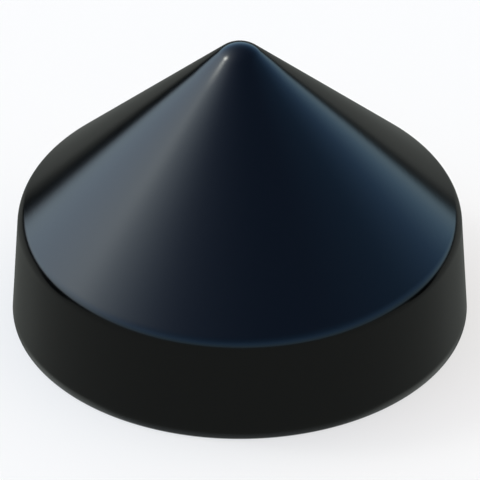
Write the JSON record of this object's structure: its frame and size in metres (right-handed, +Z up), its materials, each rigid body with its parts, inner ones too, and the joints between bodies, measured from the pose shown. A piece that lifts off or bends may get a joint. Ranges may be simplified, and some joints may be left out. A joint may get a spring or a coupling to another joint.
{
  "type": "pile cap",
  "caption": "Hollow conical cap for the head of a round dock pile, with a short tapered skirt, a rounded shoulder and a rounded tip in an even moulded wall, open underneath.",
  "frame": {"origin": "centre of the mouth, in the plane that the rim rests on", "axes": "+Z up the cap's axis, from the mouth to the tip; X and Y are alike, because the cap is a solid of revolution"},
  "size_m": [0.3192, 0.3192, 0.2263],
  "materials": {
    "black_polyethylene": "smooth moulded high-density polyethylene with a soft gloss"
  },
  "bodies": {
    "root": {"pile_cap": "black_polyethylene"}
  },
  "joints": []
}
